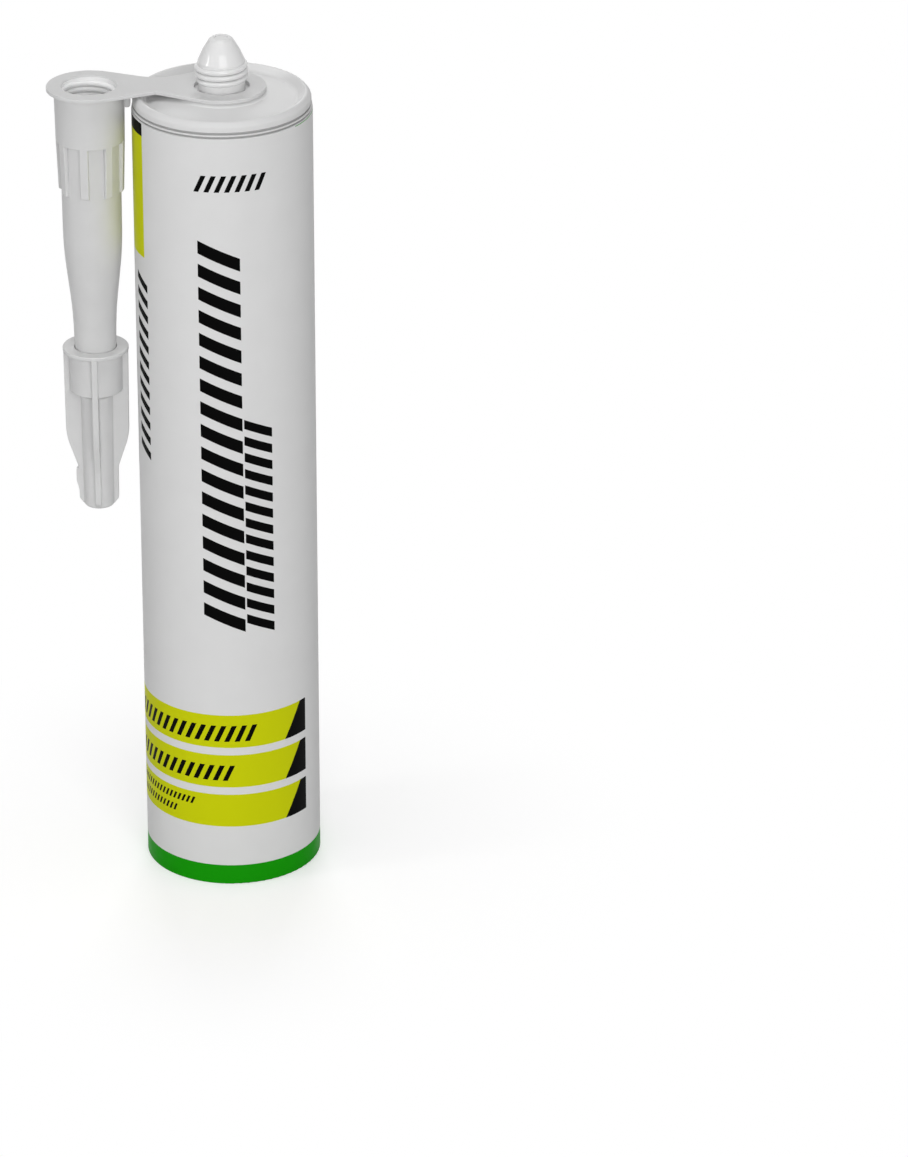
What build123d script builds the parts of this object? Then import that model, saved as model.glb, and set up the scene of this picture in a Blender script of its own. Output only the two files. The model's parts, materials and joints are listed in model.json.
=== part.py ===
"""A caulk tube: cartridge, piston, filling, and a nozzle that hangs from the neck by its strap.

Millimetres. The tube stands on its open rear rim. The origin is the centre of that rim,
+Z runs along the tube towards its neck, and the nozzle hangs on the -X side.
"""

import math
import os

from build123d import *

# ---------------------------------------------------------------- driving dimensions
# Tube and head, moulded in one piece.
tube_radius = 25.0
tube_wall = 1.2
tube_height = 228.4
rear_lead_length = 9.0
rear_lead_step = 0.2
rear_lead_slope = 0.5
rim_height = 4.7
rim_inset = 1.4
lip_inset = 0.35
groove_depth = 0.85
dish_inset = 4.2
dish_height = 3.0
cone_height = 4.45
head_thickness = 2.4

# Neck, the threaded end of the head. The threads themselves are a finish.
neck_radius = 6.5
neck_wall = 1.7
neck_straight_top = 13.9
neck_cone_inset = 0.4
neck_belly_inset = 1.38
neck_belly_height = 17.0
neck_height = 20.5
neck_tip_radius = 2.9
membrane_radius = 1.9
membrane_thickness = 1.0
thread_depth = 0.9

# Seat on the head that carries the strap's ring.
seat_edge_inset = 1.2
cone_edge_offset = 0.6
seat_height = 5.4
seat_gap = 0.05

# Piston, a cup that opens towards the rear.
piston_recess = 10.0
piston_height = 17.0
piston_web_height = 12.0
piston_wall = 1.3
piston_web = 1.6
piston_clearance = 0.08
piston_relief = 0.7
lip_height = 2.2
filling_clearance = 0.15

# Strap, a flat plate with a ring at each end.
strap_thickness = 1.0
neck_ring_width = 4.6
ring_hole_clearance = 0.3
nozzle_ring_overhang = 2.0
waist_offset = 0.25
waist_far_half_width = 5.4
waist_near_half_width = 4.6
waist_far_rounding = 13.0
waist_near_rounding = 1.5
plate_edge_rounding = 0.25

# Web that stops the collar against the tube.
web_thickness = 1.6
web_height = 5.2
web_tube_clearance = 0.2

# Nozzle, hanging with its threaded mouth up.
collar_length = 15.8
collar_wall = 2.3
collar_taper = 0.25
collar_tube_gap = 1.7
socket_depth = 13.0
thread_clearance = 0.1
mouth_chamfer = 0.35
nozzle_wall = 1.3
barrel_radius = 8.4
barrel_waist_radius = 8.2
taper_start = 48.0
taper_end = 66.5
taper_end_radius = 6.1
taper_rounding = 110.0
nozzle_length = 121.5
spout_length = 32.7
step_radius = 5.5
step_length = 3.5
spout_radius = 3.3
spout_wall = 1.0
tip_radius = 2.3
tip_bore_radius = 1.3
rib_count = 8
rib_width = 2.4
rib_length = 15.0
rib_foot_drop = 0.35
rib_foot_radius = 9.05
rib_turn = 81.3
rib_edge_rounding = 0.25

# Cap over the nozzle's tip.
cap_cover = 11.2
cap_end = 4.7
cap_clearance = 0.15
flange_radius = 9.25
flange_thickness = 1.1
cap_socket_radius = 7.6
cap_socket_foot_radius = 7.45
cap_socket_length = 11.8
cap_shoulder_length = 1.6
cap_mouth_chamfer = 0.1
stem_radius = 4.6
stem_foot_radius = 4.3
fin_count = 4
fin_thickness = 1.75
fin_edge_rounding = 0.35
fin_reach = 9.1
fin_foot_reach = 8.85
fin_length = 26.2
fin_slope_length = 9.5
fin_bend_rounding = 18.0
low_fin_reach = 5.65
tab_reach = 6.3
tab_top_drop = 37.4
tab_bottom_drop = 41.0

# ---------------------------------------------------------------- derived places
bore_radius = tube_radius - tube_wall
rim_radius = tube_radius - rim_inset
dish_radius = tube_radius - dish_inset
dish_z = tube_height + dish_height
head_underside = dish_z - head_thickness
seat_z = tube_height + seat_height
plate_bottom = seat_z + seat_gap
plate_top = plate_bottom + strap_thickness
neck_crest_radius = neck_radius + thread_depth
ring_hole_radius = neck_crest_radius + ring_hole_clearance
socket_radius = neck_crest_radius + thread_clearance
neck_ring_radius = ring_hole_radius + neck_ring_width
seat_radius = neck_ring_radius - seat_edge_inset
cone_radius = neck_ring_radius + cone_edge_offset
collar_radius = socket_radius + collar_wall
collar_foot_radius = collar_radius - collar_taper
nozzle_ring_radius = collar_radius + nozzle_ring_overhang
nozzle_reach = tube_radius + collar_tube_gap + collar_radius
waist_reach = nozzle_reach / 2 - waist_offset
nozzle_axis = Axis((-nozzle_reach, 0, 0), (0, 0, 1))
collar_foot_z = plate_top - collar_length
nozzle_tip_z = plate_top - nozzle_length
step_z = nozzle_tip_z + spout_length
spout_z = step_z - step_length
cap_top = step_z + cap_cover
cap_bottom = nozzle_tip_z - cap_end

os.makedirs("parts", exist_ok=True)


def radial_plane(centre_x, angle):
    """A plane that stands on a vertical axis: its x runs outwards, its y runs up."""
    turn = math.radians(angle)
    return Plane(
        origin=(centre_x, 0, 0),
        x_dir=(math.cos(turn), math.sin(turn), 0),
        z_dir=(math.sin(turn), -math.cos(turn), 0),
    )


def between(start, end, height):
    """The radius at a height on the straight line between two (radius, height) points."""
    share = (height - start[1]) / (end[1] - start[1])
    return start[0] + share * (end[0] - start[0])


def turned_places(start_angle, count):
    """Evenly turned places on the nozzle's axis."""
    return [
        Location((-nozzle_reach, 0, 0), (0, 0, start_angle + turn * 360 / count))
        for turn in range(count)
    ]


def outer_edges(part, width, inner_reach):
    """The long edges of a rib or fin, on both its sides, that lie outside a reach."""
    return part.edges().filter_by(
        lambda edge: abs(abs(edge.center().Y) - width / 2) < 0.001
        and edge.center().X > inner_reach
        and abs(edge.tangent_at(0.5).Z) > 0.1
    )


def touch_point(centre_x, radius, point, turn):
    """Where a line from a point touches a circle; turn is +1 or -1 for its two sides."""
    away_x = point[0] - centre_x
    spread = math.acos(radius / math.hypot(away_x, point[1]))
    angle = math.atan2(point[1], away_x) + turn * spread
    return (centre_x + radius * math.cos(angle), radius * math.sin(angle))


# ---------------------------------------------------------------- cartridge body
# Each corner is (radius, height, rounding). The outline runs up the outside and back down
# the inside, and is turned once about the tube's axis. The bore is a little wider behind
# the piston.
neck_inner_radius = neck_radius - neck_wall
membrane_z = tube_height + neck_height - membrane_thickness
body_corners = [
    (tube_radius, 0, 0.3),
    (tube_radius, tube_height, 0.12),
    (tube_radius - groove_depth, tube_height + 0.2, 0.08),
    (tube_radius - groove_depth, tube_height + 0.5, 0.12),
    (tube_radius - 0.12, tube_height + 0.75, 0.12),
    (tube_radius - 0.15, tube_height + 1.05, 0.12),
    (tube_radius - groove_depth - 0.1, tube_height + 1.25, 0.1),
    (tube_radius - groove_depth - 0.1, tube_height + 1.55, 0.12),
    (tube_radius - lip_inset, tube_height + 1.85, 0.25),
    (tube_radius - lip_inset, tube_height + 3.4, 1.2),
    (rim_radius, tube_height + rim_height, 0.7),
    (rim_radius - 0.7, tube_height + rim_height, 0.5),
    (dish_radius, dish_z, 1.2),
    (cone_radius, tube_height + cone_height, 1.0),
    (seat_radius, seat_z, 0.12),
    (neck_radius, seat_z, 0.2),
    (neck_radius, tube_height + neck_straight_top, 0.5),
    (neck_radius - neck_cone_inset, tube_height + neck_straight_top + 0.9, 0.8),
    (neck_radius - neck_belly_inset, tube_height + neck_belly_height, 5.0),
    (neck_tip_radius + 0.45, tube_height + neck_height - 0.55, 0.6),
    (neck_tip_radius - 0.3, tube_height + neck_height, 0.4),
    (membrane_radius, tube_height + neck_height, 0.05),
    (membrane_radius, tube_height + neck_height - 0.25, 0),
    (0, tube_height + neck_height - 0.25, 0),
    (0, membrane_z, 0),
    (neck_tip_radius - 0.9, membrane_z, 0.5),
    (neck_inner_radius, tube_height + neck_straight_top, 0.8),
    (neck_inner_radius, head_underside, 0.6),
    (bore_radius, head_underside, 0.8),
    (bore_radius, rear_lead_length + rear_lead_slope, 0),
    (bore_radius + rear_lead_step, rear_lead_length, 0),
    (bore_radius + rear_lead_step, 0, 0.2),
]

with BuildPart() as cartridge_body:
    with BuildSketch(Plane.XZ):
        with BuildLine():
            FilletPolyline(
                *[(radius, height) for radius, height, _ in body_corners],
                radius=[rounding for _, _, rounding in body_corners],
                close=True,
            )
        make_face()
    revolve(axis=Axis.Z)

# ---------------------------------------------------------------- piston
# A skirt with a sealing lip at each end and a web across it, dished for the pusher plate.
piston_radius = bore_radius - piston_clearance
piston_top = piston_recess + piston_height
web_z = piston_recess + piston_web_height
piston_inner = piston_radius - piston_wall
piston_corners = [
    (piston_radius, piston_recess, 0.3),
    (piston_radius, piston_recess + lip_height, 0.3),
    (piston_radius - piston_relief, piston_recess + lip_height + 1.0, 0.5),
    (piston_radius - piston_relief, piston_top - lip_height - 1.0, 0.5),
    (piston_radius, piston_top - lip_height, 0.3),
    (piston_radius, piston_top, 0.3),
    (piston_inner, piston_top, 0.3),
    (piston_inner, web_z + piston_web, 0.8),
    (0, web_z + piston_web, 0),
    (0, web_z, 0),
    (piston_inner - 0.6, web_z, 1.2),
    (piston_inner - 0.6, piston_recess + lip_height, 1.0),
    (piston_inner, piston_recess, 0.3),
]

with BuildPart() as piston:
    with BuildSketch(Plane.XZ):
        with BuildLine():
            FilletPolyline(
                *[(radius, height) for radius, height, _ in piston_corners],
                radius=[rounding for _, _, rounding in piston_corners],
                close=True,
            )
        make_face()
    revolve(axis=Axis.Z)

# ---------------------------------------------------------------- sealant
# The filling lies on the piston's web, inside its front lip, and reaches up to the head.
filling_bottom = web_z + piston_web + filling_clearance
filling_step = piston_top + filling_clearance
filling_top = head_underside - filling_clearance
with BuildPart() as sealant:
    with BuildSketch(Plane.XY.offset(filling_bottom)):
        Circle(piston_inner - 1.0)
    extrude(amount=filling_step - filling_bottom)
    with BuildSketch(Plane.XY.offset(filling_step)):
        Circle(bore_radius - filling_clearance)
    extrude(amount=filling_top - filling_step)
    fillet(sealant.edges().sort_by(Axis.Z)[-1], radius=1.0)

# ---------------------------------------------------------------- rib and fin
# One rib of the nozzle and one finger fin of its cap, each on the +X side of its own axis.
rib_foot_z = collar_foot_z - rib_length
with BuildPart() as rib:
    with BuildSketch(Plane.XZ):
        with BuildLine():
            FilletPolyline(
                (barrel_waist_radius - nozzle_wall / 2, collar_foot_z + 0.5),
                (collar_foot_radius, collar_foot_z + 0.5),
                (rib_foot_radius, rib_foot_z + rib_foot_drop),
                (barrel_waist_radius, rib_foot_z),
                (barrel_waist_radius - nozzle_wall / 2, rib_foot_z),
                radius=[0, 0, 0.35, 0, 0],
                close=True,
            )
        make_face()
    extrude(amount=rib_width / 2, both=True)
    fillet(outer_edges(rib, rib_width, barrel_waist_radius), radius=rib_edge_rounding)

fin_root = stem_foot_radius - 0.5
fin_foot_z = cap_top - flange_thickness - fin_length
with BuildPart() as fin:
    with BuildSketch(Plane.XZ):
        with BuildLine():
            FilletPolyline(
                (fin_root, cap_top - flange_thickness / 2),
                (fin_reach, cap_top - flange_thickness / 2),
                (fin_foot_reach, fin_foot_z),
                (low_fin_reach, fin_foot_z - fin_slope_length),
                (low_fin_reach - 0.1, cap_bottom + 2.0),
                (stem_foot_radius, cap_bottom + 0.5),
                (fin_root, cap_bottom + 0.5),
                radius=[0, 0, fin_bend_rounding, 6.0, 1.5, 0, 0],
                close=True,
            )
        make_face()
    extrude(amount=fin_thickness / 2, both=True)
    fillet(outer_edges(fin, fin_thickness, stem_foot_radius), radius=fin_edge_rounding)

# ---------------------------------------------------------------- nozzle with its strap
# Outside of the barrel: a collar, a straight stretch under the ribs, an S-shaped taper,
# and a spout that the cap covers.
taper_start_z = plate_top - taper_start
taper_end_z = plate_top - taper_end
passage_step = socket_radius - (barrel_radius - nozzle_wall)
nozzle_corners = [
    (collar_radius, plate_top, 0),
    (collar_foot_radius, collar_foot_z, 0.35),
    (barrel_radius, collar_foot_z, 0.3),
    (barrel_waist_radius, taper_start_z, taper_rounding),
    (taper_end_radius, taper_end_z, taper_rounding),
    (step_radius, step_z, 0.8),
    (spout_radius, spout_z, 0.8),
    (tip_radius, nozzle_tip_z, 0.4),
    (tip_bore_radius, nozzle_tip_z, 0.1),
    (spout_radius - spout_wall, spout_z, 0),
    (step_radius - nozzle_wall, step_z, 0),
    (taper_end_radius - nozzle_wall, taper_end_z, 0),
    (barrel_waist_radius - nozzle_wall, taper_start_z, 0),
    (barrel_radius - nozzle_wall, plate_top - socket_depth - passage_step, 0),
    (socket_radius, plate_top - socket_depth, 0),
    (socket_radius, plate_top, 0),
]

with BuildPart() as nozzle:
    # Strap plate: each half is a ring with a tongue that narrows to the waist.
    waist_near = (-waist_reach, -waist_near_half_width)
    waist_far = (-waist_reach, waist_far_half_width)
    for centre_x, ring_radius in ((-nozzle_reach, nozzle_ring_radius), (0, neck_ring_radius)):
        turn = math.copysign(1, centre_x + waist_reach)
        with BuildSketch(Plane.XY.offset(plate_bottom)):
            with Locations((centre_x, 0)):
                Circle(ring_radius)
            Polygon(
                (centre_x, 0),
                touch_point(centre_x, ring_radius, waist_near, turn),
                waist_near,
                waist_far,
                touch_point(centre_x, ring_radius, waist_far, -turn),
                align=None,
            )
        extrude(amount=strap_thickness)
    waist_edges = nozzle.edges().filter_by(Axis.Z).sort_by(Axis.Y)
    waist_edges = waist_edges.filter_by(lambda edge: abs(edge.center().X + waist_reach) < 0.01)
    fillet(waist_edges[0], radius=waist_near_rounding)
    waist_edges = nozzle.edges().filter_by(Axis.Z).sort_by(Axis.Y)
    waist_edges = waist_edges.filter_by(lambda edge: abs(edge.center().X + waist_reach) < 0.01)
    fillet(waist_edges[-1], radius=waist_far_rounding)
    fillet(
        nozzle.edges().filter_by_position(Axis.Z, plate_top - 0.01, plate_top + 0.01),
        radius=plate_edge_rounding,
    )
    with BuildSketch(Plane.XY.offset(plate_bottom)):
        Circle(ring_hole_radius)
    extrude(amount=strap_thickness, mode=Mode.SUBTRACT)

    # Barrel, turned about its own axis.
    with BuildSketch(Plane.XZ):
        with BuildLine():
            FilletPolyline(
                *[(radius - nozzle_reach, height) for radius, height, _ in nozzle_corners],
                radius=[rounding for _, _, rounding in nozzle_corners],
                close=True,
            )
        make_face()
    revolve(axis=nozzle_axis)

    # Ribs below the collar.
    with Locations(*turned_places(rib_turn, rib_count)):
        add(rib.part)

    # Web between the collar and the tube.
    with BuildSketch(Plane.XZ):
        with BuildLine():
            FilletPolyline(
                (collar_foot_radius - 0.3 - nozzle_reach, plate_bottom + 0.2),
                (-tube_radius - web_tube_clearance, plate_bottom + 0.2),
                (-tube_radius - web_tube_clearance, plate_bottom - web_height),
                (collar_foot_radius - 0.3 - nozzle_reach, plate_bottom - web_height),
                radius=[0, 0, 0.8, 0],
                close=True,
            )
        make_face()
    extrude(amount=web_thickness / 2, both=True)

    # Mouth of the socket, through the plate.
    with BuildSketch(Plane.XY.offset(plate_top - socket_depth)):
        with Locations((-nozzle_reach, 0)):
            Circle(socket_radius)
    extrude(amount=socket_depth, mode=Mode.SUBTRACT)
    mouth = nozzle.edges().filter_by(GeomType.CIRCLE).filter_by_position(
        Axis.Z, plate_top - 0.01, plate_top + 0.01
    )
    mouth = mouth.filter_by(lambda edge: abs(edge.radius - socket_radius) < 0.01)
    chamfer(mouth, length=mouth_chamfer)

# ---------------------------------------------------------------- nozzle cap
# The cap's passage follows the nozzle's spout at a small clearance.
mouth_radius = cap_clearance + between(
    (step_radius, step_z), (taper_end_radius, taper_end_z), cap_top
)
tip_room = 0.4
shoulder_z = cap_top - flange_thickness - cap_socket_length
passage = [
    (tip_radius + cap_clearance, nozzle_tip_z - tip_room),
    (spout_radius + cap_clearance, spout_z),
    (step_radius + cap_clearance, step_z),
    (mouth_radius, cap_top),
]
cap_corners = [
    (0, cap_top, 0),
    (flange_radius, cap_top, 0.3),
    (flange_radius, cap_top - flange_thickness, 0.2),
    (cap_socket_radius, cap_top - flange_thickness, 0.3),
    (cap_socket_foot_radius, shoulder_z, 0.25),
    (stem_radius, shoulder_z - cap_shoulder_length, 0.5),
    (stem_foot_radius, cap_bottom, 0.9),
    (0, cap_bottom, 0),
]

with BuildPart() as nozzle_cap:
    with BuildSketch(Plane.XZ):
        with BuildLine():
            FilletPolyline(
                *[(radius - nozzle_reach, height) for radius, height, _ in cap_corners],
                radius=[rounding for _, _, rounding in cap_corners],
                close=True,
            )
        make_face()
    revolve(axis=nozzle_axis)

    # Finger fins: deep beside the socket, sloping in to low ones that reach the foot.
    with Locations(*turned_places(0, fin_count)):
        add(fin.part)

    # Small tab low on the outermost fin.
    with BuildSketch(radial_plane(-nozzle_reach, 180)):
        with BuildLine():
            FilletPolyline(
                (fin_root, cap_top - tab_top_drop),
                (tab_reach, cap_top - tab_top_drop),
                (tab_reach, cap_top - tab_bottom_drop),
                (stem_foot_radius + 0.3, cap_bottom + 0.8),
                (fin_root, cap_bottom + 0.8),
                radius=[0, 0.5, 3.0, 0, 0],
                close=True,
            )
        make_face()
    extrude(amount=fin_thickness / 2, both=True)

    # Passage for the spout, cut last so that the fins stay out of it.
    with BuildSketch(Plane.XZ):
        with BuildLine():
            Polyline(
                (-nozzle_reach, cap_top),
                (-nozzle_reach, nozzle_tip_z - tip_room),
                *[(radius - nozzle_reach, height) for radius, height in passage],
                close=True,
            )
        make_face()
    revolve(axis=nozzle_axis, mode=Mode.SUBTRACT)
    cap_mouth = nozzle_cap.edges().filter_by(GeomType.CIRCLE)
    cap_mouth = cap_mouth.filter_by(lambda edge: abs(edge.radius - mouth_radius) < 0.01)
    chamfer(cap_mouth, length=cap_mouth_chamfer)

# ---------------------------------------------------------------- hand-over
cartridge_body.part.label = "cartridge_body"
piston.part.label = "piston"
sealant.part.label = "sealant"
nozzle.part.label = "nozzle"
nozzle_cap.part.label = "nozzle_cap"

export_step(cartridge_body.part, "parts/cartridge_body.step")
export_step(piston.part, "parts/piston.step")
export_step(sealant.part, "parts/sealant.step")
export_step(nozzle.part, "parts/nozzle.step")
export_step(nozzle_cap.part, "parts/nozzle_cap.step")
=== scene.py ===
"""Looks of a standing caulk tube: moulded plastics, print, threads, filling, light and camera.

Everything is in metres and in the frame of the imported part: +Z up along the tube, the printed
front towards -Y, and the nozzle hanging on the -X side.
"""

import json
import math

import bmesh
import bpy
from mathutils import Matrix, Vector


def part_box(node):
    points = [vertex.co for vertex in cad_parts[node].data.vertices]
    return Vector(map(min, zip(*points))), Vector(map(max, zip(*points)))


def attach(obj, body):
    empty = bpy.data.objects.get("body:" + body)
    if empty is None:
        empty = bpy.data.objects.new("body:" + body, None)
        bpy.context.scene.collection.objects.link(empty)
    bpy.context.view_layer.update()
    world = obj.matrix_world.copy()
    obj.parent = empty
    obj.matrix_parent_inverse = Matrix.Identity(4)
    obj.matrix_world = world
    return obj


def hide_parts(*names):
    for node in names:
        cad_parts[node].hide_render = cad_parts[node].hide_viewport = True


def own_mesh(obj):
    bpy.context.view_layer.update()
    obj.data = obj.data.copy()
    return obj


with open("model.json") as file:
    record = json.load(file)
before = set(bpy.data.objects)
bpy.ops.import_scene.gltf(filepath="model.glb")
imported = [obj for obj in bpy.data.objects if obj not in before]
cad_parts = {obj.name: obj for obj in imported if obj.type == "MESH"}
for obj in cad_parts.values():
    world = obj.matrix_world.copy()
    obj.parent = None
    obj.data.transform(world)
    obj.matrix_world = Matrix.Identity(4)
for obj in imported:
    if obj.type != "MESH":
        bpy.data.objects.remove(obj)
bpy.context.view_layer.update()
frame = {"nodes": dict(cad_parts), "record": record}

MM = 0.001
NECK_HEIGHT = 20.5 * MM  # of the neck's tip above the tube's wall

# ---------------------------------------------------------------- places read from the frame
mounts = {mount["name"]: mount for mount in frame["record"]["mounts"]}
_, body_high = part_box("cartridge_body")
_, nozzle_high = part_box("nozzle")
filling_low, filling_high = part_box("sealant")
_, piston_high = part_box("piston")
tube_radius = body_high.x
tube_top = body_high.z - NECK_HEIGHT
neck_root = mounts["neck"]["dims"]["r_mm"] * MM
socket_root = mounts["nozzle_socket"]["dims"]["r_mm"] * MM
nozzle_x = mounts["nozzle_socket"]["pos_m"][0]

# ---------------------------------------------------------------- colours, linear
WHITE_PLASTIC = (0.69, 0.69, 0.69, 1)
# The head and neck are the wall's plastic, painted paler as painted light from above.
HEAD_PLASTIC_PAINTED_LIGHT = (0.75, 0.75, 0.75, 1)
NOZZLE_PLASTIC = (0.63, 0.63, 0.63, 1)
# Painted light: the socket's inside is painted paler, as if lit through the thin collar.
SOCKET_PAINTED_LIGHT = (0.9, 0.9, 0.9, 1)
PISTON_PLASTIC = (0.70, 0.70, 0.69, 1)
PASTE = (0.76, 0.76, 0.73, 1)
INK_BLACK = (0.002, 0.002, 0.002, 1)
INK_YELLOW = (0.56, 0.60, 0.004, 1)
INK_GREEN = (0.008, 0.29, 0.003, 1)
FLOOR_GREY = (0.65, 0.65, 0.65, 1)

# ---------------------------------------------------------------- surface of moulded plastic
CLOUD_GRAIN = 9 * MM
PATCH_GRAIN = 2.5 * MM
GLOSS_SWING = 0.05  # of the roughness, either way
FINE_GRAIN = 0.25 * MM
FINE_DEPTH = 0.004 * MM
FLOW_GRAIN = 3 * MM
FLOW_DEPTH = 0.02 * MM
FLOW_STRETCH = (1, 1, 0.12)  # draws the flow lines out along Z
NOISE_RANGE = (0.3, 0.7)  # the part of the noise that is spread out
GLOW_DEPTH = 1.2 * MM  # how far light travels under the surface

# ---------------------------------------------------------------- zones of the tube and nozzle
WALL_REACH = tube_radius - 0.2 * MM  # ink lies only outside this radius
HEAD_REACH = tube_radius - 1.6 * MM  # the glossy head and neck lie inside it
# The rim's two grooves, which are darkened with painted shade.
GROOVE_OUTER_REACH = tube_radius - 0.5 * MM
GROOVE_INNER_REACH = tube_radius - 1.2 * MM
GROOVES_TOP = tube_top + 1.75 * MM
PAINTED_GROOVE_DARKNESS = 0.35  # how much painted shade darkens the rim's narrow grooves
HEAD_COAT = 0.6
INK_SMOOTHING = 0.05  # how much less rough the ink is than the wall
# The zone inside the socket that is painted paler as painted light.
SOCKET_REACH = socket_root + 0.1 * MM
SOCKET_FOOT = nozzle_high.z - 14 * MM
SOCKET_MOUTH = nozzle_high.z - 0.4 * MM

# ---------------------------------------------------------------- print on the tube
# Heights are millimetres above the tube's foot. Angles are degrees from the front towards +X.
DEGREE_ARC = tube_radius * math.pi / 180  # metres of arc for each degree
SLANT = 0.45  # how far the marks lean forwards for each metre of their height

GREEN_FOOT = (-1, 6.07)
GREEN_LINE = (228.14, 228.34)
GREEN_LINE_ARC = (55, 179)

YELLOW_BANDS = ((18.53, 28.73), (31.08, 41.30), (43.66, 53.89))
YELLOW_ARC = (-112, 58.7)
WEDGE_ARC = (38, 58.7)
WEDGE_EDGE = (39, 52.8)  # where a wedge begins at its band's foot, and at its top

PANEL_ARC = (-90, -60)
PANEL_FIELD = (188.7, 224.6)
PANEL_HEAD = (224.6, 228.3)

# Rows of marks that read upwards: foot, top, right edge, left edge, strokes, inked share.
ROWS_UP = (
    (80, 196.4, 12, -15, 17, 0.56),
    (79, 143.6, 32, 13, 13, 0.56),
    (128, 183, -57, -72, 12, 0.5),
)
# Rows of marks that read round the tube: left end, right end, foot, top, strokes, inked share.
ROWS_ROUND = (
    (-17, 28.5, 213, 217.8, 7, 0.5),
    (-98, 17, 45.6, 50.6, 17, 0.5),
    (-98, 2, 33.2, 38.0, 15, 0.5),
    (-98, -24, 24.8, 27.0, 21, 0.5),
    (-98, -38, 21.0, 23.2, 17, 0.5),
)
# On the back, a thin frame and plain bars. Each field is foot, top, start and end angle.
BACK_FRAME = (18, 75, 100, 160)
BACK_FRAME_INSIDE = (18.6, 74.4, 101.4, 158.6)
LOWER_BARS = (22.5, 70.5, 106, 154)
LOWER_BARS_STEP = 3.0
UPPER_BARS = (80, 122, 103, 157)
UPPER_BARS_STEP = 3.5
BARS_INK = 0.3  # share of each step that is inked


# ---------------------------------------------------------------- node helpers
class Nodes:
    """Short calls for building one material's node tree."""

    def __init__(self, name):
        self.material = bpy.data.materials.new(name)
        self.material.use_nodes = True
        self.tree = self.material.node_tree
        self.shader = self.tree.nodes["Principled BSDF"]
        self.place = self.tree.nodes.new("ShaderNodeTexCoord").outputs["Object"]

    def put(self, socket, value):
        """Sets a socket to a number or a colour, or links it to another node's output."""
        if isinstance(value, (int, float, tuple)):
            socket.default_value = value
        else:
            self.tree.links.new(value, socket)

    def math(self, operation, *values):
        node = self.tree.nodes.new("ShaderNodeMath")
        node.operation = operation
        for socket, value in zip(node.inputs, values):
            self.put(socket, value)
        return node.outputs[0]

    def product(self, *values):
        total = values[0]
        for value in values[1:]:
            total = self.math("MULTIPLY", total, value)
        return total

    def either(self, *values):
        total = values[0]
        for value in values[1:]:
            total = self.math("MAXIMUM", total, value)
        return total

    def within(self, value, low, high):
        """1 where a value lies between two limits, else 0."""
        return self.math("COMPARE", value, (low + high) / 2, (high - low) / 2)

    def coordinates(self):
        """The x, y and z of each point, in the frame of the part."""
        split = self.tree.nodes.new("ShaderNodeSeparateXYZ")
        self.put(split.inputs[0], self.place)
        return split.outputs

    def length(self, x, y):
        """Length of a level vector."""
        return self.math("SQRT", self.math("ADD", self.product(x, x), self.product(y, y)))

    def noise(self, grain, detail, stretch=(1, 1, 1)):
        """Noise whose features are about grain metres across."""
        place = self.tree.nodes.new("ShaderNodeMapping")
        place.inputs["Scale"].default_value = stretch
        self.put(place.inputs["Vector"], self.place)
        node = self.tree.nodes.new("ShaderNodeTexNoise")
        node.inputs["Scale"].default_value = 1 / grain
        node.inputs["Detail"].default_value = detail
        self.put(node.inputs["Vector"], place.outputs["Vector"])
        return node.outputs["Fac"]

    def spread(self, value, low, high, start, end):
        """Maps a value from start..end to low..high."""
        node = self.tree.nodes.new("ShaderNodeMapRange")
        node.inputs["From Min"].default_value = start
        node.inputs["From Max"].default_value = end
        node.inputs["To Min"].default_value = low
        node.inputs["To Max"].default_value = high
        self.put(node.inputs["Value"], value)
        return node.outputs["Result"]

    def mix(self, share, first, second, blend="MIX"):
        node = self.tree.nodes.new("ShaderNodeMix")
        node.data_type = "RGBA"
        node.blend_type = blend
        self.put(node.inputs["Factor"], share)
        first_socket, second_socket = (s for s in node.inputs if s.type == "RGBA")
        self.put(first_socket, first)
        self.put(second_socket, second)
        return next(s for s in node.outputs if s.type == "RGBA")

    def bump(self, height, depth, below=None):
        """Relief from a height map, on top of another relief if there is one."""
        node = self.tree.nodes.new("ShaderNodeBump")
        node.inputs["Distance"].default_value = depth
        self.put(node.inputs["Height"], height)
        if below is not None:
            self.put(node.inputs["Normal"], below)
        return node.outputs["Normal"]

    def feed(self, **values):
        """Links sockets of the shader, named in small letters with underscores."""
        for name, value in values.items():
            self.put(self.shader.inputs[name.replace("_", " ").title()], value)


# ---------------------------------------------------------------- materials
def moulded_plastic(name, colour, roughness, shine=0.2, mottle=0.02):
    """Satin moulded polyethylene: faint cloudiness, fine grain and soft flow lines."""
    nodes = Nodes(name)
    cloud = nodes.noise(CLOUD_GRAIN, detail=3)
    tint = nodes.spread(cloud, 1 - mottle, 1 + mottle, *NOISE_RANGE)
    shade = nodes.tree.nodes.new("ShaderNodeCombineColor")
    for channel in shade.inputs:
        nodes.put(channel, tint)
    base = nodes.mix(1.0, colour, shade.outputs[0], "MULTIPLY")
    patches = nodes.noise(PATCH_GRAIN, detail=2)
    gloss = nodes.spread(patches, roughness - GLOSS_SWING, roughness + GLOSS_SWING, *NOISE_RANGE)
    grain = nodes.bump(nodes.noise(FINE_GRAIN, detail=2), FINE_DEPTH)
    lines = nodes.noise(FLOW_GRAIN, detail=1, stretch=FLOW_STRETCH)
    flow = nodes.bump(lines, FLOW_DEPTH, below=grain)
    nodes.feed(base_color=base, roughness=gloss, normal=flow)
    nodes.shader.inputs["Specular IOR Level"].default_value = shine
    return nodes, base, gloss


def soften(nodes, weight):
    """Lets a little light travel under the surface, as it does in thin polyethylene."""
    nodes.shader.inputs["Subsurface Weight"].default_value = weight
    nodes.shader.inputs["Subsurface Radius"].default_value = (1.0, 1.0, 1.0)
    nodes.shader.inputs["Subsurface Scale"].default_value = GLOW_DEPTH


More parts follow.
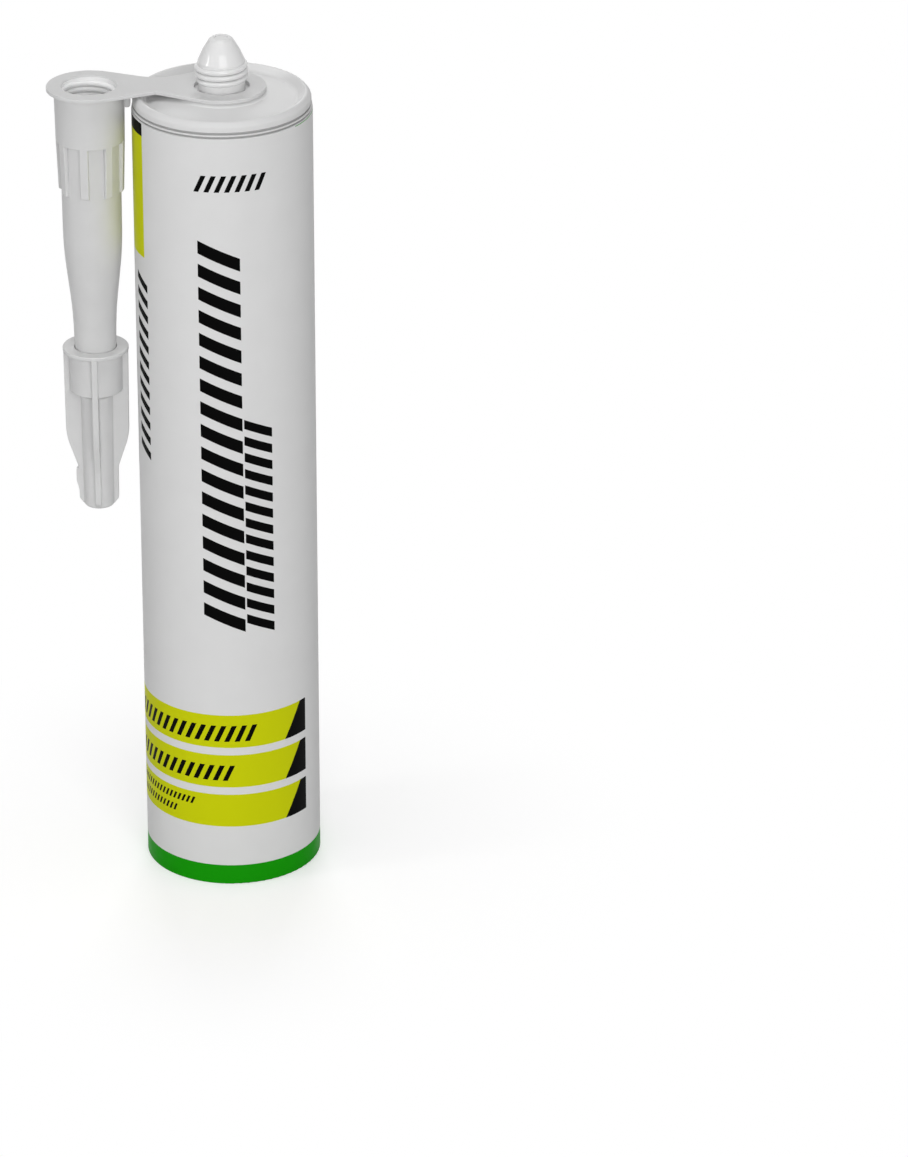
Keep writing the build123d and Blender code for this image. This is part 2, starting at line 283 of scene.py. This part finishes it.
def marks(nodes, along, across, start, length, height, count, fill):
    """A row of plain slanted strokes, where a line of print stands."""
    lean = nodes.math("MULTIPLY_ADD", across, -SLANT, along)
    cell = nodes.math("MULTIPLY_ADD", lean, count / length, -start * count / length)
    stroke = nodes.within(nodes.math("FRACT", cell), 0, fill)
    return nodes.product(
        nodes.within(across, 0, height), nodes.within(cell, 0, count), stroke
    )


def print_masks(nodes):
    """Masks of the head, of its two grooves for painted shade, and of the black, yellow and
    green ink.
    """
    x, y, up = nodes.coordinates()
    angle = nodes.math("ARCTAN2", x, nodes.math("MULTIPLY", y, -1))
    around = nodes.math("MULTIPLY", angle, tube_radius)
    minus_around = nodes.math("MULTIPLY", around, -1)
    reach = nodes.length(x, y)
    wall = nodes.math("GREATER_THAN", reach, WALL_REACH)

    def band(low, high):
        return nodes.within(up, low * MM, high * MM)

    def arc(start, end):
        return nodes.within(around, start * DEGREE_ARC, end * DEGREE_ARC)

    def field(low, high, start, end):
        return nodes.product(band(low, high), arc(start, end))

    def bars(area, step):
        row = nodes.math("FRACT", nodes.math("DIVIDE", up, step * MM))
        return nodes.product(field(*area), nodes.within(row, 0, BARS_INK))

    def row_up(low, high, right, left, count, fill):
        across = nodes.math("ADD", minus_around, right * DEGREE_ARC)
        height = (right - left) * DEGREE_ARC
        return marks(nodes, up, across, low * MM, (high - low) * MM, height, count, fill)

    def row_round(left, right, low, high, count, fill):
        across = nodes.math("SUBTRACT", up, low * MM)
        start, length = left * DEGREE_ARC, (right - left) * DEGREE_ARC
        return marks(nodes, around, across, start, length, (high - low) * MM, count, fill)

    # Three yellow bands low on the front, each ended by a black wedge.
    yellow, black = [], []
    wedge_foot, wedge_top = (degrees * DEGREE_ARC for degrees in WEDGE_EDGE)
    for low, high in YELLOW_BANDS:
        level = band(low, high)
        yellow.append(nodes.product(level, arc(*YELLOW_ARC)))
        edge = nodes.spread(up, wedge_foot, wedge_top, low * MM, high * MM)
        past = nodes.math("GREATER_THAN", around, edge)
        black.append(nodes.product(level, past, arc(*WEDGE_ARC)))

    # Panel on the left: black head, yellow field.
    yellow.append(field(*PANEL_FIELD, *PANEL_ARC))
    black.append(field(*PANEL_HEAD, *PANEL_ARC))

    for row in ROWS_UP:
        black.append(row_up(*row))
    for row in ROWS_ROUND:
        black.append(row_round(*row))
    black.append(nodes.math("SUBTRACT", field(*BACK_FRAME), field(*BACK_FRAME_INSIDE)))
    black.append(bars(LOWER_BARS, LOWER_BARS_STEP))
    black.append(bars(UPPER_BARS, UPPER_BARS_STEP))

    green = [band(*GREEN_FOOT), field(*GREEN_LINE, *GREEN_LINE_ARC)]
    inks = [nodes.product(wall, nodes.either(*masks)) for masks in (black, yellow, green)]
    head = nodes.math("LESS_THAN", reach, HEAD_REACH)
    # Painted shade in the rim's two grooves.
    painted_groove_shade = nodes.product(
        nodes.math("LESS_THAN", reach, GROOVE_OUTER_REACH),
        nodes.math("GREATER_THAN", reach, GROOVE_INNER_REACH),
        nodes.within(up, tube_top, GROOVES_TOP),
    )
    return head, painted_groove_shade, inks


def printed_tube():
    """Matt printed wall, with a head and neck glossy from the mould and painted paler as painted
    light, and painted shade in the rim's grooves.
    """
    nodes, base, gloss = moulded_plastic(
        "tube_plastic_printed", WHITE_PLASTIC, roughness=0.42, shine=0.02, mottle=0.01
    )
    head, painted_groove_shade, (black, yellow, green) = print_masks(nodes)
    # Painted light: the head and neck get a paler tone, as if lit more from above.
    colour = nodes.mix(head, base, HEAD_PLASTIC_PAINTED_LIGHT)
    # Painted shade: the grooves are mixed towards black.
    colour = nodes.mix(nodes.product(painted_groove_shade, PAINTED_GROOVE_DARKNESS), colour, INK_BLACK)
    colour = nodes.mix(green, colour, INK_GREEN)
    colour = nodes.mix(yellow, colour, INK_YELLOW)
    colour = nodes.mix(black, colour, INK_BLACK)
    ink = nodes.either(black, yellow, green)
    rough = nodes.math("MULTIPLY_ADD", ink, -INK_SMOOTHING, gloss)
    coat = nodes.product(head, HEAD_COAT)
    nodes.feed(base_color=colour, roughness=rough, coat_weight=coat)
    nodes.shader.inputs["Coat Roughness"].default_value = 0.15
    return nodes.material


def nozzle_material():
    """Greyer plastic, painted paler inside the socket: painted light, as if coming through the
    thin collar.
    """
    nodes, base, _ = moulded_plastic("nozzle_plastic", NOZZLE_PLASTIC, roughness=0.42)
    x, y, up = nodes.coordinates()
    reach = nodes.length(nodes.math("SUBTRACT", x, nozzle_x), y)
    # Painted light inside the socket.
    inside = nodes.product(
        nodes.math("LESS_THAN", reach, SOCKET_REACH),
        nodes.math("GREATER_THAN", up, SOCKET_FOOT),
        nodes.math("LESS_THAN", up, SOCKET_MOUTH),
    )
    nodes.feed(base_color=nodes.mix(inside, base, SOCKET_PAINTED_LIGHT))
    soften(nodes, weight=0.3)
    return nodes.material


def wear(node, material):
    """Gives a CAD node its only material."""
    frame["nodes"][node].data.materials.clear()
    frame["nodes"][node].data.materials.append(material)


tube_plastic = printed_tube()
nozzle_plastic = nozzle_material()
piston_plastic = moulded_plastic("piston_plastic", PISTON_PLASTIC, roughness=0.4)[0].material
# The neck's thread gets the same paler tone, which is painted light.
neck_nodes = moulded_plastic("neck_plastic", HEAD_PLASTIC_PAINTED_LIGHT, roughness=0.18, shine=0.5)[0]
soften(neck_nodes, weight=0.35)
paste = moulded_plastic("paste", PASTE, roughness=0.3)[0].material
wear("cartridge_body", tube_plastic)
wear("nozzle", nozzle_plastic)
wear("nozzle_cap", nozzle_plastic)
wear("piston", piston_plastic)


# ---------------------------------------------------------------- mesh helpers
def mesh_piece(name, build, material, body):
    """Makes a piece from a function that fills a bmesh, and lets it ride on a body."""
    shape = bmesh.new()
    build(shape)
    bmesh.ops.recalc_face_normals(shape, faces=shape.faces)
    mesh = bpy.data.meshes.new(name)
    shape.to_mesh(mesh)
    shape.free()
    mesh.materials.append(material)
    mesh.shade_smooth()
    piece = bpy.data.objects.new(name, mesh)
    bpy.context.scene.collection.objects.link(piece)
    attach(piece, body)
    return piece


def turned(shape, outline, steps=128):
    """A solid turned about Z from (radius, height) points that begin and end on the axis."""
    rings = []
    for radius, height in outline:
        if radius == 0:
            rings.append([shape.verts.new((0, 0, height))])
        else:
            rings.append([
                shape.verts.new((radius * math.cos(a), radius * math.sin(a), height))
                for a in (2 * math.pi * k / steps for k in range(steps))
            ])
    for first, second in zip(rings, rings[1:]):
        for k in range(steps):
            m = (k + 1) % steps
            corners = [first[k % len(first)], first[m % len(first)],
                       second[m % len(second)], second[k % len(second)]]
            # An end ring is one point, so its corner counts once.
            shape.faces.new(list(dict.fromkeys(corners)))


# ---------------------------------------------------------------- threads
PITCH = 1.7 * MM
RIDGE_HALF_WIDTH = 0.47  # of the pitch
RIDGE_BLUNTNESS = 0.8  # below 1 fills out the ridge's round section
RIDGE_POINTS = 10
RIDGE_SINK = 0.12 * MM  # how deep the ridge's foot lies in the wall
FADE_TURNS = 0.3  # over which a ridge grows at each end
FADED_WIDTH = 0.35  # share of its width that a ridge has at its very end


def thread(shape, centre_x, root, crest, start_z, turns, start_angle, steps=96):
    """A right-hand thread ridge that fades in and out at its ends."""
    half = RIDGE_HALF_WIDTH * PITCH
    foot = -math.copysign(RIDGE_SINK, crest - root)
    swings = [math.pi * k / RIDGE_POINTS for k in range(RIDGE_POINTS + 1)]
    section = [(-half * math.cos(a), math.sin(a) ** RIDGE_BLUNTNESS) for a in swings]
    rings = []
    for step in range(int(turns * steps) + 1):
        turn = step / steps
        grow = min(1, turn / FADE_TURNS, (turns - turn) / FADE_TURNS)
        grow = math.sin(grow * math.pi / 2)
        width = FADED_WIDTH + (1 - FADED_WIDTH) * grow
        angle = start_angle + turn * 2 * math.pi
        points = [(offset, share * grow * (crest - root)) for offset, share in section]
        ring = []
        for offset, reach in [(-half, foot)] + points + [(half, foot)]:
            radius = root + reach
            height = start_z + turn * PITCH + offset * width
            x, y = centre_x + radius * math.cos(angle), radius * math.sin(angle)
            ring.append(shape.verts.new((x, y, height)))
        rings.append(ring)
    for first, second in zip(rings, rings[1:]):
        for i in range(len(first)):
            j = (i + 1) % len(first)
            shape.faces.new((first[i], first[j], second[j], second[i]))
    shape.faces.new(rings[0])
    shape.faces.new(rings[-1])


def neck_thread(shape):
    crest = neck_root + 0.9 * MM
    start_z = tube_top + 8.4 * MM
    thread(shape, 0, neck_root, crest, start_z, turns=2.75, start_angle=math.radians(150))


def socket_thread(shape):
    crest = socket_root - 0.75 * MM
    start_z = nozzle_high.z - 11 * MM
    thread(shape, nozzle_x, socket_root, crest, start_z, turns=5.6, start_angle=math.radians(40))


mesh_piece("neck_thread", neck_thread, neck_nodes.material, "cartridge")
mesh_piece("socket_thread", socket_thread, nozzle_plastic, "nozzle")

# ---------------------------------------------------------------- filling
FILLING_GAP = 0.1 * MM  # all round, inside the CAD solid that the filling replaces
FOOT_INSET = 2.4 * MM  # of the filling's foot, inside the piston's lip
FOOT_BEVEL = 0.6 * MM
TOP_BEVEL = 1.1 * MM
LIP_CLEARANCE = 0.25 * MM


def filling_body(shape):
    low, high = filling_low.z + FILLING_GAP, filling_high.z - FILLING_GAP
    radius = filling_high.x - FILLING_GAP
    foot_radius = radius - FOOT_INSET
    step_z = piston_high.z + LIP_CLEARANCE
    turned(shape, [
        (0, low),
        (foot_radius - FOOT_BEVEL, low),
        (foot_radius, low + FOOT_BEVEL),
        (foot_radius, step_z),
        (radius, step_z),
        (radius, high - TOP_BEVEL),
        (radius - TOP_BEVEL, high),
        (0, high),
    ])


filling = mesh_piece("sealant_paste", filling_body, paste, "cartridge")
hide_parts("sealant")
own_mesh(filling)

# ---------------------------------------------------------------- floor, world and lamps
# The camera sees the lit floor near the object, so that its shadow shows, and plain white
# further out.
FLOOR_HALF = 6.0
FLOOR_LIFT = 0.42
FLOOR_NEAR = 0.03
FLOOR_FAR = 0.13
FILL_LEVEL = 0.22


def backdrop_share(tree):
    """1 for rays that should see the white background, else 0."""
    path = tree.nodes.new("ShaderNodeLightPath")
    share = path.outputs["Is Camera Ray"]
    for ray in ("Is Glossy Ray", "Is Transmission Ray"):
        either = tree.nodes.new("ShaderNodeMath")
        either.operation = "MAXIMUM"
        tree.links.new(share, either.inputs[0])
        tree.links.new(path.outputs[ray], either.inputs[1])
        share = either.outputs[0]
    return share


def floor_material():
    """Pale floor that shows as white to the camera and keeps the object's shadow."""
    material = bpy.data.materials.new("floor_white")
    material.use_nodes = True
    tree = material.node_tree
    tree.nodes.clear()
    link = tree.links.new
    output = tree.nodes.new("ShaderNodeOutputMaterial")
    matt = tree.nodes.new("ShaderNodeBsdfDiffuse")
    matt.inputs["Color"].default_value = FLOOR_GREY
    lift = tree.nodes.new("ShaderNodeEmission")
    lift.inputs["Strength"].default_value = FLOOR_LIFT
    lit = tree.nodes.new("ShaderNodeAddShader")
    link(matt.outputs[0], lit.inputs[0])
    link(lift.outputs[0], lit.inputs[1])
    white = tree.nodes.new("ShaderNodeEmission")

    place = tree.nodes.new("ShaderNodeTexCoord")
    distance = tree.nodes.new("ShaderNodeVectorMath")
    distance.operation = "LENGTH"
    link(place.outputs["Object"], distance.inputs[0])
    far = tree.nodes.new("ShaderNodeMapRange")
    far.interpolation_type = "SMOOTHSTEP"
    far.inputs["From Min"].default_value = FLOOR_NEAR
    far.inputs["From Max"].default_value = FLOOR_FAR
    link(distance.outputs["Value"], far.inputs["Value"])

    seen = tree.nodes.new("ShaderNodeMixShader")
    link(far.outputs["Result"], seen.inputs["Fac"])
    link(lit.outputs[0], seen.inputs[1])
    link(white.outputs[0], seen.inputs[2])
    either = tree.nodes.new("ShaderNodeMixShader")
    link(backdrop_share(tree), either.inputs["Fac"])
    link(matt.outputs[0], either.inputs[1])
    link(seen.outputs[0], either.inputs[2])
    link(either.outputs[0], output.inputs["Surface"])
    return material


def make_floor():
    mesh = bpy.data.meshes.new("floor")
    signs = ((-1, -1), (1, -1), (1, 1), (-1, 1))
    corners = [(x * FLOOR_HALF, y * FLOOR_HALF, 0) for x, y in signs]
    mesh.from_pydata(corners, [], [(0, 1, 2, 3)])
    mesh.materials.append(floor_material())
    floor = bpy.data.objects.new("floor", mesh)
    bpy.context.scene.collection.objects.link(floor)


def make_world():
    """White to the camera and in reflections, a plain grey fill to everything else."""
    world = bpy.data.worlds.new("studio")
    bpy.context.scene.world = world
    world.use_nodes = True
    tree = world.node_tree
    ground = tree.nodes["Background"]
    level = tree.nodes.new("ShaderNodeMapRange")
    level.inputs["To Min"].default_value = FILL_LEVEL
    level.inputs["To Max"].default_value = 1.0
    tree.links.new(backdrop_share(tree), level.inputs["Value"])
    tree.links.new(level.outputs["Result"], ground.inputs["Strength"])
    ground.inputs["Color"].default_value = (1, 1, 1, 1)


def softbox(name, place, aim, size, watts, mirrored=True):
    """A square area lamp that points at a place, and may stay out of glossy reflections."""
    data = bpy.data.lights.new(name, "AREA")
    data.shape = "SQUARE"
    data.size = size
    data.energy = watts
    lamp = bpy.data.objects.new(name, data)
    lamp.location = place
    lamp.rotation_euler = (Vector(aim) - Vector(place)).to_track_quat("-Z", "Y").to_euler()
    lamp.visible_glossy = mirrored
    bpy.context.scene.collection.objects.link(lamp)


make_floor()
make_world()
middle = (0, 0, body_high.z / 2)
softbox("key", place=(0.36, -1.87, 0.8), aim=middle, size=1.3, watts=23.5)
softbox("left", place=(-1.85, -0.6, 0.75), aim=middle, size=0.35, watts=6.5)
softbox("top", place=(-0.1, -0.3, 1.95), aim=middle, size=1.2, watts=10)
softbox("back", place=(0, 1.7, 1.0), aim=middle, size=0.8, watts=14, mirrored=False)

# ---------------------------------------------------------------- camera
CAMERA_PLACE = (0.06383, -1.62552, 0.84864)
CAMERA_PITCH = 25.16  # degrees below level
LENS = 196.2  # millimetres, on a sensor 36 mm wide

camera_data = bpy.data.cameras.new("camera")
camera_data.lens = LENS
camera_data.sensor_width = 36
camera_data.clip_end = 50
camera = bpy.data.objects.new("camera", camera_data)
camera.location = CAMERA_PLACE
camera.rotation_euler = (math.radians(90 - CAMERA_PITCH), 0, 0)
bpy.context.scene.collection.objects.link(camera)
bpy.context.scene.camera = camera
bpy.context.scene.view_settings.view_transform = "Standard"
